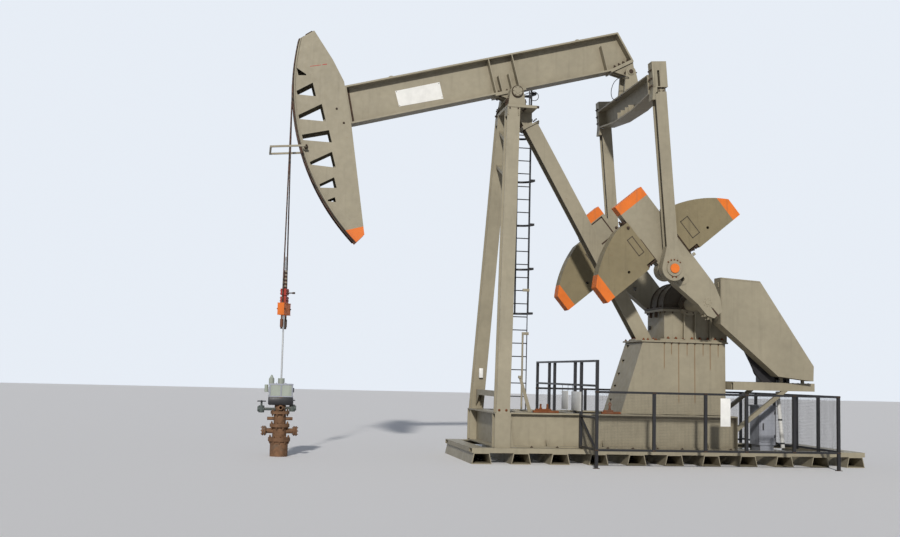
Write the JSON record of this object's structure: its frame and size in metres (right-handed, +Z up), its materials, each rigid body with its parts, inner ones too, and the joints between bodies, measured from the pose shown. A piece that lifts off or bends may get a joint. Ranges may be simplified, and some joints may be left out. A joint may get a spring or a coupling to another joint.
{
  "type": "pumpjack",
  "caption": "Beam pumping unit with horse head, crank counterweights, gearbox and motor on a skid, side fences, ladder, and its wellhead with polished rod and bridle.",
  "frame": {"origin": "on the ground in the middle plane, straight under the axis that the walking beam rocks on", "axes": "+X from the well towards the motor, +Y to the far side as pictured, +Z up"},
  "size_m": [13.1765, 4.86, 9.8199],
  "materials": {
    "structure_paint": "weathered satin",
    "weight_paint": "weathered matt",
    "orange_paint": "satin",
    "black_paint": "satin",
    "polished_steel": "polished",
    "wire_rope": "greased",
    "rusty_iron": "rusty",
    "green_paint": "weathered",
    "red_paint": "satin",
    "grey_paint": "satin"
  },
  "bodies": {
    "stand": {"skid_beams": "structure_paint", "sleepers": "structure_paint", "base_beam_near": "structure_paint", "base_beam_far": "structure_paint", "base_cross_beams": "structure_paint", "front_cross_beam": "structure_paint", "gearbox_pedestal": "structure_paint", "gearbox": "structure_paint", "gearbox_cover": "structure_paint", "front_leg_near": "structure_paint", "front_leg_far": "structure_paint", "leg_struts": "structure_paint", "rear_leg": "structure_paint", "post_cap": "structure_paint", "saddle_bearings": "structure_paint", "ladder": "black_paint", "ladder_brackets": "black_paint", "ladder_cage": "black_paint", "belt_guard": "structure_paint", "motor": "black_paint", "motor_platform": "structure_paint", "platform_braces": "structure_paint", "control_cabinet": "grey_paint", "fence_near": "black_paint", "fence_far": "black_paint", "fence_front": "black_paint", "fence_rear": "black_paint", "wellhead": "rusty_iron", "stuffing_box": "green_paint", "bridle_lines": "wire_rope"},
    "walking_beam": {"walking_beam": "structure_paint", "horse_head": "structure_paint", "head_tracks": "wire_rope", "saddle_bearing_shaft": "structure_paint", "tail_bracket": "structure_paint", "wireline_guard": "structure_paint"},
    "cranks": {"crankshaft": "structure_paint", "crank_near": "structure_paint", "crank_far": "structure_paint", "weight_near_lead": "weight_paint", "weight_near_lag": "weight_paint", "weight_far_lead": "weight_paint", "weight_far_lag": "weight_paint"},
    "equalizer": {"equalizer_beam": "structure_paint", "pitman_near": "structure_paint", "pitman_far": "structure_paint", "wrist_bearing_near": "structure_paint", "wrist_bearing_far": "structure_paint"},
    "rod_carrier": {"carrier_bar": "orange_paint", "rod_clamp": "red_paint", "rod_rings": "polished_steel", "polished_rod": "polished_steel"}
  },
  "joints": [
    {"name": "beam_rock", "type": "hinge", "parent": "stand", "child": "walking_beam", "pos_m": [0, 0, 8.15], "axis": [0, 1, 0], "range_deg": [-6, 42]},
    {"name": "crank_turn", "type": "hinge", "parent": "stand", "child": "cranks", "pos_m": [4.075, 0, 3.52], "axis": [0, -1, 0], "range_deg": [-21.02, 147.02]},
    {"name": "equalizer_swing", "type": "hinge", "parent": "walking_beam", "child": "equalizer", "pos_m": [2.77442, 0, 8.90379], "axis": [0, 1, 0], "range_deg": [-58.82, 8.42]},
    {"name": "rod_slide", "type": "slide", "parent": "stand", "child": "rod_carrier", "axis": [0, 0, 1], "range_m": [-0.5194, 3.6295], "deforming": ["bridle_lines"]}
  ],
  "couplings": [
    {"joint": "crank_turn", "follows": "beam_rock", "ratio": 3.5},
    {"joint": "equalizer_swing", "follows": "beam_rock", "ratio": -1.4},
    {"joint": "rod_slide", "follows": "beam_rock", "m_per_rad": 4.95}
  ]
}
